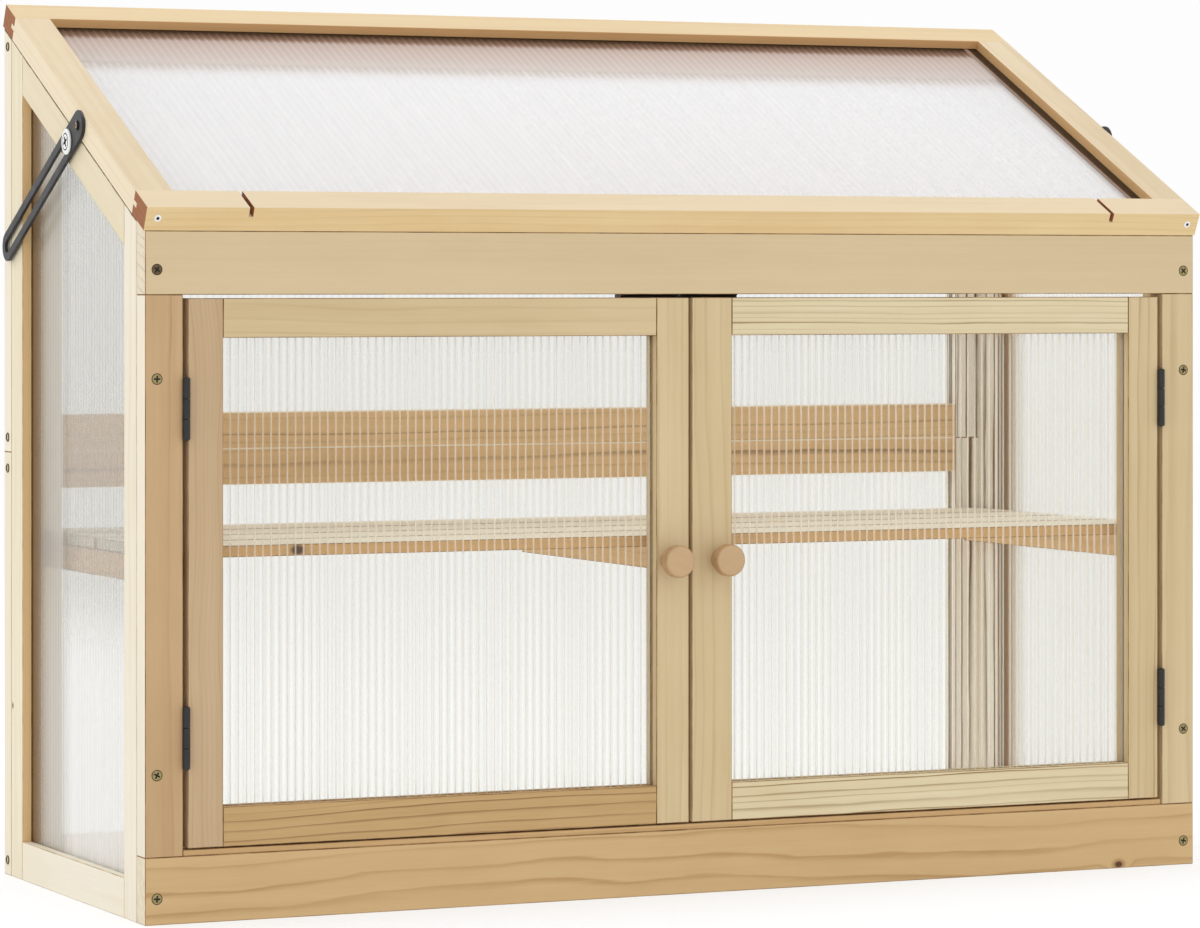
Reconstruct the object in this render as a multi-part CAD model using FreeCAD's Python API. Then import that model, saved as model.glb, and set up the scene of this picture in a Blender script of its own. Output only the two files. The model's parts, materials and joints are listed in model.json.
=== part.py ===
import FreeCAD, Part
import math
import os

# A small wooden greenhouse: two glazed side frames, two stacked back frames, a boarded
# front with a pair of glazed doors, a glazed lid that slopes to the front, and one slatted
# shelf inside. Every glazed frame is grooved, and holds a twin-wall plastic sheet.
# Built with the front face of the boards at y = 0, x = 0 on the middle line and z = 0 on
# the ground; every piece is moved back to the middle of the whole depth as it is saved.

# Body
body_w = 1040.0
body_d = 396.0
front_h = 591.5
lid_pitch = 26.0
stock = 22.0
kick_h = 57.5
apron_h = 54.5
jamb_w = 34.0
side_stile_w = 33.0
side_rail_w = 35.0
back_stile_w = 48.0
back_rail_w = 34.0
back_lower_h = 391.0

# Twin-wall sheet and the groove that holds it
sheet_t = 4.0
sheet_skin = 0.5
cell_pitch = 7.5
cell_wall = 0.5
cell_seal = 0.5
groove_depth = 8.0
groove_play = 0.1
sheet_end_play = 0.5

# Doors
door_side_gap = 4.5
door_meet_gap = 3.0
door_meet_x = -5.3
door_top_gap = 3.0
door_foot_gap = 6.5
door_stile_w = 32.0
door_wide_stile_w = 40.0
door_rail_w = 34.0

# Turned knobs
knob_r = 14.5
knob_len = 26.0
knob_foot_r = 8.5
knob_neck_r = 6.5
knob_head_t = 10.0
knob_rim_t = 2.5
knob_face_r = 9.5
knob_from_opening = 12.4

# Shelf
shelf_top = 320.0
slat_t = 10.0
slat_count = 4
slat_gap = 6.0
shelf_front_gap = 8.0
shelf_back_gap = 4.0
shelf_end_play = 1.0
cleat_w = 16.0
cleat_h = 23.0

# Lid
lid_side_over = 1.5
lid_front_rail_w = 34.0
lid_back_rail_w = 32.0
lid_side_rail_w = 33.0
lid_seat_gap = 0.3
lid_open = 51.0
drain_w = 4.0
drain_from_end = 95.0

# Butt hinges
hinge_len = 52.0
hinge_r = 3.2
hinge_pin_r = 1.6
hinge_pin_play = 0.08
hinge_leaf_t = 1.4
hinge_leaf_reach = 19.0
hinge_knuckle_gap = 0.3
hinge_flat_count = 14
door_hinge_proud = 2.8
door_hinge_inset = 94.5
lid_hinge_from_mid = 330.0

# Slotted stays that hold the lid open
stay_w = 27.0
stay_t = 3.0
stay_slot_w = 11.0
stay_fall = 27.2
stay_pivot_from_back = 247.9
stay_gap = 0.3
stay_slot_play = 0.1
stay_first = 30.0
stay_hole_r = 4.3
pivot_play = 0.08
pivot_len = 12.0
stud_head_r = 11.5
stud_head_t = 2.4

# Magnetic catches under the apron, one for each door, and their strike plates
catch_w = 56.5
catch_d = 13.0
catch_h = 15.0
catch_flange_t = 2.5
catch_flange_h = 14.0
catch_drop = 2.0
catch_web_t = 1.0
catch_gap = 0.4
magnet_w = 14.0
magnet_h = 9.0
magnet_depth = 6.0
strike_w = 22.0
strike_h = 13.0
strike_t = 1.2
strike_from_edge = 1.5
strike_top = 2.5

V = FreeCAD.Vector
UP = V(0, 0, 1)

slope = math.radians(lid_pitch)
half_w = body_w / 2
side_front = stock
side_back = body_d - stock
groove_t = sheet_t + 2 * groove_play
sheet_bite = groove_depth - sheet_end_play
shelf_under = shelf_top - slat_t
far = body_w + body_d + front_h  # past every piece, for cutting shapes


def slope_z(y):
    """Height of the plane that the lid closes on, at depth y."""
    return front_h + y * math.tan(slope)


def plate(points, thickness, middle=0.0):
    """A flat piece with the given outline in XY, its thickness centred on z = middle."""
    base = middle - thickness / 2
    wire = Part.makePolygon([V(x, y, base) for x, y in points + points[:1]])
    return Part.Face(wire).extrude(V(0, 0, thickness))


def rect(x0, x1, y0, y1):
    return [(x0, y0), (x1, y0), (x1, y1), (x0, y1)]


def block(x0, x1, y0, y1, z0, z1):
    return Part.makeBox(x1 - x0, y1 - y0, z1 - z0, V(x0, y0, z0))


def placed(shape, origin, x_dir, y_dir):
    """The shape moved from its own axes to an origin and two directions."""
    z_dir = x_dir.cross(y_dir)
    matrix = FreeCAD.Matrix(
        x_dir.x, y_dir.x, z_dir.x, origin.x,
        x_dir.y, y_dir.y, z_dir.y, origin.y,
        x_dir.z, y_dir.z, z_dir.z, origin.z,
        0, 0, 0, 1)
    moved = shape.copy()
    moved.Placement = FreeCAD.Placement(matrix).multiply(moved.Placement)
    return moved


def mirrored(shape):
    return shape.mirror(V(0, 0, 0), V(1, 0, 0))


# Grooved frames, drawn flat in XY. A through member runs the whole length of its side,
# and its groove is open at both ends. A member between two others has stub tenons that
# fill those grooves, and its own groove runs on through the tenons for the sheet's corner.

def grooved(outline, groove):
    return plate(outline, stock).cut(plate(groove, groove_t))


def tenoned(outline, groove, tenon):
    member = grooved(outline, groove)
    return member.fuse(plate(tenon, groove_t)).removeSplitter()


def fluted_sheet(x0, x1, y0, y1):
    """Twin-wall sheet with its cells along Y, sealed at their lower ends."""
    half = sheet_t / 2
    count = int((x1 - x0 - cell_wall) // cell_pitch)
    first = (x0 + x1) / 2 - count * cell_pitch / 2
    cell_foot = y0 + cell_seal

    def ring(low_x, high_x, low_z, high_z):
        corners = [V(low_x, cell_foot, low_z), V(high_x, cell_foot, low_z),
                   V(high_x, cell_foot, high_z), V(low_x, cell_foot, high_z)]
        return Part.makePolygon(corners + corners[:1])

    wires = [ring(x0, x1, -half, half)]
    for i in range(count):
        left = first + i * cell_pitch + cell_wall / 2
        right = left + cell_pitch - cell_wall
        wires.append(ring(left, right, sheet_skin - half, half - sheet_skin))
    section = Part.Face(wires, "Part::FaceMakerBullseye")
    cells = section.extrude(V(0, y1 - cell_foot, 0))
    return cells.fuse(block(x0, x1, y0, cell_foot, -half, half)).removeSplitter()


def plain_sheet(x0, x1, y0, y1):
    return plate(rect(x0, x1, y0, y1), sheet_t)


def framed_panel(width, height, left_w, right_w, foot_w, head_w, sheet_maker):
    """Four members and the sheet of a frame whose uprights run through."""
    left, right = left_w, width - right_w
    foot, head = foot_w, height - head_w
    deep_left, deep_right = left - groove_depth, right + groove_depth
    deep_foot, deep_head = foot - groove_depth, head + groove_depth
    left_stile = grooved(rect(0, left, 0, height), rect(deep_left, left, 0, height))
    right_stile = grooved(rect(right, width, 0, height), rect(right, deep_right, 0, height))
    bottom_rail = tenoned(rect(left, right, 0, foot),
                          rect(left, right, deep_foot, foot),
                          rect(deep_left, deep_right, 0, deep_foot))
    top_rail = tenoned(rect(left, right, head, height),
                       rect(left, right, head, deep_head),
                       rect(deep_left, deep_right, deep_head, height))
    sheet = sheet_maker(left - sheet_bite, right + sheet_bite,
                        foot - sheet_bite, head + sheet_bite)
    return left_stile, right_stile, bottom_rail, top_rail, sheet


pieces = {}

# Front boards. The apron's top edge is planed to the slope of the lid.
apron_foot = front_h - apron_h
apron_section = [(0, apron_foot), (stock, apron_foot), (stock, slope_z(stock)), (0, front_h)]
apron_wire = Part.makePolygon([V(-half_w, y, z) for y, z in apron_section + apron_section[:1]])
pieces["apron"] = Part.Face(apron_wire).extrude(V(body_w, 0, 0))
pieces["kickboard"] = block(-half_w, half_w, 0, stock, 0, kick_h)
left_jamb = block(-half_w, -half_w + jamb_w, 0, stock, kick_h, apron_foot)
pieces["left_jamb"] = left_jamb
pieces["right_jamb"] = mirrored(left_jamb)

# Side frames, drawn in depth and height. Their tops follow the slope.
opening_front = side_front + side_stile_w
opening_back = side_back - side_stile_w
rail_drop = side_rail_w / math.cos(slope)
groove_drop = groove_depth / math.cos(slope)
bite_rise = sheet_bite / math.cos(slope)


def slope_strip(y0, y1, top_drop, foot_drop):
    """A strip along the slope, between two drops below it."""
    return [(y0, slope_z(y0) - foot_drop), (y1, slope_z(y1) - foot_drop),
            (y1, slope_z(y1) - top_drop), (y0, slope_z(y0) - top_drop)]


above_slope = plate([(0, slope_z(0)), (body_d, slope_z(body_d)),
                     (body_d, far), (0, far)], 2 * stock)
deep_front = opening_front - groove_depth
deep_back = opening_back + groove_depth
front_stile = grooved(rect(side_front, opening_front, 0, far),
                      rect(deep_front, opening_front, 0, far)).cut(above_slope)
rear_stile = grooved(rect(opening_back, side_back, 0, far),
                     rect(opening_back, deep_back, 0, far)).cut(above_slope)
side_groove_z = side_rail_w - groove_depth
bottom_rail = tenoned(rect(opening_front, opening_back, 0, side_rail_w),
                      rect(opening_front, opening_back, side_groove_z, side_rail_w),
                      rect(deep_front, deep_back, 0, side_groove_z))
top_rail = tenoned(slope_strip(opening_front, opening_back, 0, rail_drop),
                   slope_strip(opening_front, opening_back, rail_drop - groove_drop, rail_drop),
                   slope_strip(deep_front, deep_back, 0, rail_drop - groove_drop))
sheet_limits = (opening_front - sheet_bite, opening_back + sheet_bite)
side_sheet = fluted_sheet(*sheet_limits, side_rail_w - sheet_bite, slope_z(side_back))
side_sheet = side_sheet.cut(plate([(0, slope_z(0) - rail_drop + bite_rise),
                                   (body_d, slope_z(body_d) - rail_drop + bite_rise),
                                   (body_d, far), (0, far)], stock))
side_origin = V(-half_w + stock / 2, 0, 0)
for name, shape in [("side_front_stile", front_stile), ("side_rear_stile", rear_stile),
                    ("side_bottom_rail", bottom_rail), ("side_top_rail", top_rail),
                    ("side_sheet", side_sheet)]:
    left = placed(shape, side_origin, V(0, 1, 0), UP)
    pieces["left_" + name] = left
    pieces["right_" + name] = mirrored(left)

# Back frames: one stands on the other, and the upper one's top is planed to the slope.
back_origin_y = side_back + stock / 2
back_upper_h = slope_z(body_d) - back_lower_h
upper_head_w = back_rail_w + slope_z(body_d) - slope_z(side_back)
over_back = plate([(side_back, slope_z(side_back)), (body_d, slope_z(body_d)),
                   (body_d, far), (side_back, far)], 2 * body_w)
over_back = placed(over_back, V(0, 0, 0), V(0, 1, 0), UP)
for name, foot_z, height, head_w in [("back_lower", 0.0, back_lower_h, back_rail_w),
                                     ("back_upper", back_lower_h, back_upper_h, upper_head_w)]:
    panel = framed_panel(body_w, height, back_stile_w, back_stile_w,
                         back_rail_w, head_w, plain_sheet)
    labels = ("left_stile", "right_stile", "bottom_rail", "top_rail", "sheet")
    for label, shape in zip(labels, panel):
        shape = placed(shape, V(-half_w, back_origin_y, foot_z), V(1, 0, 0), UP)
        if label != "sheet" and name == "back_upper":
            shape = shape.cut(over_back)
        pieces[name + "_" + label] = shape

# Shelf: lengthwise slats on a cleat at each end, tied by a batten under the middle
shelf_front = side_front + shelf_front_gap
shelf_back = side_back - shelf_back_gap
slat_w = (shelf_back - shelf_front - (slat_count - 1) * slat_gap) / slat_count
slat_end = half_w - stock - shelf_end_play
slats = []
for i in range(slat_count):
    y0 = shelf_front + i * (slat_w + slat_gap)
    slats.append(block(-slat_end, slat_end, y0, y0 + slat_w, shelf_under, shelf_top))
pieces["shelf_slats"] = Part.makeCompound(slats)
cleat_foot = shelf_under - cleat_h
wall_x = half_w - stock
left_cleat = block(-wall_x, -wall_x + cleat_w, side_front, side_back, cleat_foot, shelf_under)
pieces["left_cleat"] = left_cleat
pieces["right_cleat"] = mirrored(left_cleat)
pieces["shelf_batten"] = block(-cleat_w / 2, cleat_w / 2, shelf_front, shelf_back,
                               cleat_foot, shelf_under)


# Butt hinge, drawn with its axis on Z and its middle at the origin. A leaf lies on the
# +X side and reaches along +Y; its outer face, which meets the wood, is at x = seat.
def knuckle_spans():
    span = (hinge_len - 2 * hinge_knuckle_gap) / 3
    low = -hinge_len / 2
    step = span + hinge_knuckle_gap
    return [(low + i * step, low + i * step + span) for i in range(3)]


def rod(radius, flats, z0, z1):
    """A many-sided rod on Z whose flats lie at the given radius."""
    corner = radius / math.cos(math.pi / flats)
    turns = [2 * math.pi * i / flats for i in range(flats)]
    ring = [V(corner * math.cos(a), corner * math.sin(a), z0) for a in turns]
    return Part.Face(Part.makePolygon(ring + ring[:1])).extrude(V(0, 0, z1 - z0))


def leaf_plate(seat, gaps):
    """The flat of a leaf, notched where the other leaf's knuckles turn."""
    leaf = block(seat - hinge_leaf_t, seat, 0, hinge_leaf_reach, -hinge_len / 2, hinge_len / 2)
    notch_y = hinge_r + 2 * hinge_knuckle_gap
    for z0, z1 in gaps:
        leaf = leaf.cut(block(-hinge_r, 2 * hinge_r, 0, notch_y,
                              z0 - hinge_knuckle_gap, z1 + hinge_knuckle_gap))
    return leaf


def fixed_leaf(seat):
    """Leaf with the two outer knuckles and the pin that is riveted into them."""
    low, middle, high = knuckle_spans()
    leaf = leaf_plate(seat, [middle])
    for z0, z1 in (low, high):
        leaf = leaf.fuse(rod(hinge_r, hinge_flat_count, z0, z1))
    pin = Part.makeCylinder(hinge_pin_r, high[0] - low[1], V(0, 0, low[1]))
    return leaf.fuse(pin).removeSplitter()


def moving_leaf(seat):
    """Leaf with the middle knuckle, bored to turn on the pin."""
    low, middle, high = knuckle_spans()
    leaf = leaf_plate(seat, [low, high]).fuse(rod(hinge_r, hinge_flat_count, *middle))
    bore = Part.makeCylinder(hinge_pin_r + hinge_pin_play, middle[1] - middle[0],
                             V(0, 0, middle[0]))
    return leaf.cut(bore).removeSplitter()


# Doors. Both are drawn on the left, and the right one is then mirrored. They meet a little
# left of the middle line, and the right one has the wider meeting stile.
jamb_edge = half_w - jamb_w
door_foot = kick_h + door_foot_gap
door_head = apron_foot - door_top_gap
door_h = door_head - door_foot
door_left = -jamb_edge + door_side_gap
door_labels = ("hinge_stile", "meeting_stile", "bottom_rail", "top_rail", "sheet")

# The knob's profile, from the wood outward along its own axis
knob_neck_z = knob_len - knob_head_t
knob_rim_z = (knob_neck_z + knob_len - knob_rim_t) / 2
knob_profile = [(0, 0), (knob_foot_r, 0), (knob_neck_r, knob_neck_z), (knob_r, knob_rim_z),
                (knob_r, knob_rim_z + knob_rim_t), (knob_face_r, knob_len), (0, knob_len)]
knob_corners = [V(r, 0, z) for r, z in knob_profile + knob_profile[:1]]
knob = Part.Face(Part.makePolygon(knob_corners)).revolve(V(0, 0, 0), UP, 360)
knob_z = (door_foot + door_head) / 2

hinge_x = -jamb_edge + door_side_gap / 2
hinge_seat = door_side_gap / 2
jamb_leaves = []
door_leaves = []
for z in (door_foot + door_hinge_inset, door_head - door_hinge_inset):
    at = V(hinge_x, -door_hinge_proud, z)
    door_leaves.append(placed(moving_leaf(hinge_seat), at, V(1, 0, 0), V(0, 1, 0)))
    jamb_leaves.append(placed(fixed_leaf(hinge_seat), at, V(-1, 0, 0), V(0, 1, 0)))
jamb_leaves += [mirrored(leaf) for leaf in jamb_leaves]
pieces["door_hinge_jamb_leaves"] = Part.makeCompound(jamb_leaves)

# Each door has a magnetic catch: a case that hangs from a flange screwed behind the apron,
# open in front at its magnet, and a strike plate inside the door's meeting stile.
strike_face = stock + strike_t
strike_head = door_head - strike_top
case_front = strike_face + catch_gap
case_back = case_front + catch_d
case_foot = apron_foot - catch_drop - catch_h
cases = []
magnets = []

for side, turned, meet_x, meeting_w in (
        ("left", lambda shape: shape, door_meet_x, door_stile_w),
        ("right", mirrored, -door_meet_x, door_wide_stile_w)):
    edge = meet_x - door_meet_gap / 2
    door_parts = framed_panel(edge - door_left, door_h, door_stile_w, meeting_w,
                              door_rail_w, door_rail_w, fluted_sheet)
    knob_at = V(edge - meeting_w + knob_from_opening, 0, knob_z)
    for label, shape in zip(door_labels, door_parts):
        shape = placed(shape, V(door_left, stock / 2, door_foot), V(1, 0, 0), UP)
        if label == "meeting_stile":
            shape = Part.makeCompound([shape, placed(knob, knob_at, V(1, 0, 0), UP)])
        pieces[side + "_door_" + label] = turned(shape)
    pieces[side + "_door_hinge_leaves"] = Part.makeCompound([turned(s) for s in door_leaves])

    strike_edge = edge - strike_from_edge
    strike = block(strike_edge - strike_w, strike_edge, stock, strike_face,
                   strike_head - strike_h, strike_head)
    pieces[side + "_door_strike"] = turned(strike)
    case = block(edge - catch_w, edge, case_front, case_back, case_foot, apron_foot)
    flange = block(edge - catch_w, edge, stock, stock + catch_flange_t,
                   apron_foot, apron_foot + catch_flange_h)
    web = block(edge - catch_w, edge, stock, case_front, apron_foot - catch_web_t, apron_foot)
    case = case.fuse(flange).fuse(web).removeSplitter()
    magnet_x = strike_edge - strike_w / 2
    magnet_z = case_foot + catch_h / 2
    magnet = block(magnet_x - magnet_w / 2, magnet_x + magnet_w / 2,
                   case_front, case_front + magnet_depth,
                   magnet_z - magnet_h / 2, magnet_z + magnet_h / 2)
    cases.append(turned(case.cut(magnet)))
    magnets.append(turned(magnet))
pieces["catch_case"] = Part.makeCompound(cases)
pieces["catch_magnets"] = Part.makeCompound(magnets)

# Lid, drawn flat with its front edge at y = 0 and laid on the slope. Its front and back
# rails run through, and the side rails are tenoned into them.
along = V(0, math.cos(slope), math.sin(slope))
off = V(0, -math.sin(slope), math.cos(slope))
lid_w = body_w + 2 * lid_side_over
lid_len = body_d / math.cos(slope)
lid_x = lid_w / 2
inner_x = lid_x - lid_side_rail_w
inner_front, inner_back = lid_front_rail_w, lid_len - lid_back_rail_w
deep_x = inner_x + groove_depth
deep_front, deep_back = inner_front - groove_depth, inner_back + groove_depth
front_rail = grooved(rect(-lid_x, lid_x, 0, inner_front),
                     rect(-lid_x, lid_x, deep_front, inner_front))
back_rail = grooved(rect(-lid_x, lid_x, inner_back, lid_len),
                    rect(-lid_x, lid_x, inner_back, deep_back))
side_rail = tenoned(rect(-lid_x, -inner_x, inner_front, inner_back),
                    rect(-deep_x, -inner_x, inner_front, inner_back),
                    rect(-lid_x, -deep_x, deep_front, deep_back))
sheet_x = inner_x + sheet_bite
lid_sheet = fluted_sheet(-sheet_x, sheet_x, inner_front - sheet_bite, inner_back + sheet_bite)
# Two saw cuts let rain off the sheet, over the front rail
for x in (-lid_x + drain_from_end, lid_x - drain_from_end):
    front_rail = front_rail.cut(block(x - drain_w / 2, x + drain_w / 2, -stock,
                                      inner_front + stock, sheet_t / 2, stock))
lid_origin = V(0, 0, front_h) + off * (lid_seat_gap + stock / 2)


def on_lid(shape):
    return placed(shape, lid_origin, V(1, 0, 0), along)


pieces["lid_front_rail"] = on_lid(front_rail)
pieces["lid_back_rail"] = on_lid(back_rail)
pieces["lid_left_rail"] = on_lid(side_rail)
pieces["lid_right_rail"] = mirrored(pieces["lid_left_rail"])
pieces["lid_sheet"] = on_lid(lid_sheet)

# Lid hinges on the back: one leaf down the back frame, the other up the end of the lid.
# The axis stands one knuckle radius off both faces.
lid_end = V(0, 0, front_h) + off * lid_seat_gap + along * lid_len
axis_y = body_d + hinge_r
axis_z = lid_end.z + (hinge_r - (axis_y - lid_end.y) * math.cos(slope)) / math.sin(slope)
frame_leaves = []
lid_leaves = []
for x in (-lid_hinge_from_mid, lid_hinge_from_mid):
    at = V(x, axis_y, axis_z)
    frame_leaves.append(placed(fixed_leaf(hinge_r), at, V(0, -1, 0), V(0, 0, -1)))
    lid_leaves.append(placed(moving_leaf(hinge_r), at, along * -1, off))
pieces["lid_hinge_back_leaves"] = Part.makeCompound(frame_leaves)
pieces["lid_hinge_lid_leaves"] = Part.makeCompound(lid_leaves)

# Stays. The slotted bar hangs from a screw in the lid's side rail and slides on a stud in
# the side frame. Its slot ends where the stud is when the lid stands fully open.
axis = V(0, axis_y, axis_z)
pivot = (V(0, 0, front_h) + off * (lid_seat_gap + stock / 2)
         + along * (lid_len - stay_pivot_from_back))
fall = math.radians(stay_fall)
stay_dir = V(0, math.cos(fall), -math.sin(fall))
stud_at = pivot + stay_dir * stay_first
arm = pivot - axis
swing = math.radians(lid_open)
open_pivot = axis + V(0, arm.y * math.cos(swing) + arm.z * math.sin(swing),
                      arm.z * math.cos(swing) - arm.y * math.sin(swing))
stay_last = (open_pivot - stud_at).Length
end_r = stay_w / 2
slot_r = stay_slot_w / 2


def round_bar(x0, x1, radius, thickness):
    """A flat bar with round ends centred at x0 and x1, standing on z = 0."""
    wire = Part.Wire([
        Part.LineSegment(V(x0, -radius, 0), V(x1, -radius, 0)).toShape(),
        Part.Arc(V(x1, -radius, 0), V(x1 + radius, 0, 0), V(x1, radius, 0)).toShape(),
        Part.LineSegment(V(x1, radius, 0), V(x0, radius, 0)).toShape(),
        Part.Arc(V(x0, radius, 0), V(x0 - radius, 0, 0), V(x0, -radius, 0)).toShape()])
    return Part.Face(wire).extrude(V(0, 0, thickness))


stay = round_bar(0, stay_last, end_r, stay_t)
stay = stay.cut(round_bar(stay_first, stay_last, slot_r, stay_t))
stay = stay.cut(Part.makeCylinder(stay_hole_r, stay_t))

# The bar turns on the shouldered head of a screw that runs into the rail.
stay_foot_x = lid_x + stay_gap
screw_r = stay_hole_r - pivot_play
screw = Part.makeCylinder(screw_r, pivot_len + stay_t, V(0, 0, -pivot_len))

# The stud: a shoulder in the slot and a broad head outside it
shoulder_foot = half_w + stay_gap - stay_foot_x
head_foot = stay_t + stay_gap
stud = Part.makeCylinder(slot_r - stay_slot_play, head_foot - shoulder_foot,
                         V(0, 0, shoulder_foot))
stud = stud.fuse(Part.makeCylinder(stud_head_r, stud_head_t, V(0, 0, head_foot)))

across = V(-1, 0, 0).cross(stay_dir)
stay_at = V(-stay_foot_x, pivot.y, pivot.z)
pieces["left_stay"] = placed(stay, stay_at, stay_dir, across)
left_stud = placed(stud, stay_at + stay_dir * stay_first, stay_dir, across)
pieces["left_stay_stud"] = left_stud
left_screw = placed(screw, stay_at, stay_dir, across)
pieces["right_stay"] = mirrored(pieces["left_stay"])
pieces["right_stay_stud"] = mirrored(left_stud)
pieces["stay_pivot_screws"] = Part.makeCompound([left_screw, mirrored(left_screw)])
pieces["lid_left_rail"] = pieces["lid_left_rail"].cut(left_screw)
pieces["lid_right_rail"] = mirrored(pieces["lid_left_rail"])

# Everything is saved about the middle of the whole depth, from the knobs' faces to the
# back of the lid hinges.
mid_y = (axis_y + hinge_r - knob_len) / 2
for name, shape in pieces.items():
    shape.translate(V(0, -mid_y, 0))
    shape.exportStep("parts/" + name + ".step")
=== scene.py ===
import json
from math import cos, pi, radians, sin

import bmesh
import bpy
from mathutils import Matrix, Vector


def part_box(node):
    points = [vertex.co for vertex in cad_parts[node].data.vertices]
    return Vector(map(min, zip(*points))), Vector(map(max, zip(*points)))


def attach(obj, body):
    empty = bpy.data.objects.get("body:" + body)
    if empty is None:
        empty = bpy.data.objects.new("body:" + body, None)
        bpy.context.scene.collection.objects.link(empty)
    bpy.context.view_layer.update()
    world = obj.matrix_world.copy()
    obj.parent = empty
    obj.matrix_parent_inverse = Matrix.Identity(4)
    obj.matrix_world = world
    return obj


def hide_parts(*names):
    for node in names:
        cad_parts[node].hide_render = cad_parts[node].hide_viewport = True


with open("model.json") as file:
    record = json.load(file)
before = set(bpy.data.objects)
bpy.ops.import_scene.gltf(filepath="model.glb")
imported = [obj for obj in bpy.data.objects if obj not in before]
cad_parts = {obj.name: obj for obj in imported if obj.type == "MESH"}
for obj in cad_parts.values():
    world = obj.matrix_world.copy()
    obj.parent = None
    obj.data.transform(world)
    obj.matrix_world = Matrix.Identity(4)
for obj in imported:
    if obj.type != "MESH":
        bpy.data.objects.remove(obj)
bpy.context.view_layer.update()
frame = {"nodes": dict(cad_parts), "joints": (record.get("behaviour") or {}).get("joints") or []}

# A small wooden greenhouse in a white studio. The boards and sheets are the frame's own
# nodes with better materials and softened edges. Hinges, knobs, stays, studs, pivots and
# screws are pieces made here. Everything is in metres.

joints = {joint["name"]: joint for joint in frame["joints"]}
nodes = frame["nodes"]

MM = 0.001
X = Vector((1, 0, 0))
Y = Vector((0, 1, 0))
Z = Vector((0, 0, 1))
SIDES = {"left": -1, "right": 1}

# Sizes that the frame doesn't hold as the box of a node
stock = 22 * MM
lid_pitch = radians(26)
edge_round = 0.6 * MM
sheet_half = 2 * MM
cell_pitch = 7.5 * MM
knob_len = 26 * MM
knob_r = 14.4 * MM
hinge_len = 52 * MM
hinge_r = 3.2 * MM
hinge_pin_r = 1.6 * MM
hinge_leaf_t = 1.4 * MM
hinge_reach = 19 * MM
hinge_gap = 0.3 * MM
knuckle_len = (hinge_len - 2 * hinge_gap) / 3
door_hinge_seat = 2.25 * MM
stay_w = 27 * MM
stay_t = 3 * MM
stay_slot_w = 11 * MM
stay_first = 30 * MM
stay_hole_r = 4.3 * MM
stud_head_r = 11.5 * MM
stud_head_t = 2.4 * MM
front_screw_r = 4.3 * MM
back_screw_r = 3.6 * MM
nail_r = 3.2 * MM
hinge_screw_r = 2.9 * MM
hinge_screw_spread = 17 * MM
front_screw_inset = 10.6 * MM
front_screw_heights = (558.5 * MM, 465.2 * MM, 127.6 * MM, 22.3 * MM)
back_screw_heights = (765.4 * MM, 404.5 * MM, 375.9 * MM, 13.7 * MM)

apron_low, apron_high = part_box("apron")
front_y = apron_low.y
half_w = apron_high.x
lid_along = Vector((0, cos(lid_pitch), sin(lid_pitch)))
lid_off = Vector((0, -sin(lid_pitch), cos(lid_pitch)))


def box_middle(name):
    low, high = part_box(name)
    return (low + high) / 2


def shade(red, green, blue):
    """A colour as it shows on a screen, turned into a shader's linear colour."""
    def linear(value):
        value /= 255
        return value / 12.92 if value <= 0.04045 else ((value + 0.055) / 1.055) ** 2.4
    return (linear(red), linear(green), linear(blue), 1.0)


BLACK = (0.0, 0.0, 0.0, 1.0)
WHITE = (1.0, 1.0, 1.0, 1.0)
KNOT_DARK = shade(92, 60, 36)
GAP_SHADOW_DARK = shade(104, 74, 44)
BAND_RIB_SHADE = shade(122, 86, 68)
SPECK_DARK = shade(70, 58, 42)


class Graph:
    """Short ways to add and link the nodes of one tree."""

    def __init__(self, tree):
        self.tree = tree

    def feed(self, socket, value):
        if isinstance(value, bpy.types.NodeSocket):
            self.tree.links.new(value, socket)
        elif value is not None:
            socket.default_value = value

    def node(self, kind, inputs=None, **settings):
        made = self.tree.nodes.new("ShaderNode" + kind)
        for key, value in settings.items():
            setattr(made, key, value)
        for key, value in (inputs or {}).items():
            self.feed(made.inputs[key], value)
        return made

    def place(self):
        """Where a point lies in the greenhouse, however its joints have moved it."""
        return self.node("TexCoord").outputs["Object"]

    def calc(self, operation, a, b=None, c=None):
        return self.node("Math", {0: a, 1: b, 2: c}, operation=operation).outputs[0]

    def times(self, a, b):
        return self.calc("MULTIPLY", a, b)

    def minus(self, a, b):
        return self.calc("SUBTRACT", a, b)

    def muladd(self, a, b, c):
        return self.calc("MULTIPLY_ADD", a, b, c)

    def dot(self, a, b):
        return self.node("VectorMath", {0: a, 1: b}, operation="DOT_PRODUCT").outputs["Value"]

    def length(self, vector):
        return self.node("VectorMath", {0: vector}, operation="LENGTH").outputs["Value"]

    def clamp(self, value):
        return self.node("Clamp", {"Value": value}).outputs[0]

    def pack(self, x, y, z):
        return self.node("CombineXYZ", {0: x, 1: y, 2: z}).outputs[0]

    def noise(self, place, scale, detail=2.0):
        inputs = {"Vector": place, "Scale": scale, "Detail": detail}
        return self.node("TexNoise", inputs).outputs["Fac"]

    def step(self, value, low, high):
        """0 below low, 1 above high, and a smooth rise between them."""
        inputs = {"Value": value, "From Min": low, "From Max": high}
        return self.node("MapRange", inputs, interpolation_type="SMOOTHSTEP").outputs[0]

    def mix(self, factor, a, b):
        made = self.node("Mix", data_type="RGBA")
        self.feed(made.inputs["Factor"], factor)
        self.feed(made.inputs[6], a)
        self.feed(made.inputs[7], b)
        return made.outputs[2]

    def bump(self, height, distance, strength):
        inputs = {"Height": height, "Distance": distance, "Strength": strength}
        return self.node("Bump", inputs).outputs[0]


def new_object(name, data):
    made = bpy.data.objects.new(name, data)
    bpy.context.scene.collection.objects.link(made)
    return made


def new_material(name):
    material = bpy.data.materials.new(name)
    material.use_nodes = True
    material.node_tree.nodes.clear()
    return material, Graph(material.node_tree)


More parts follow.
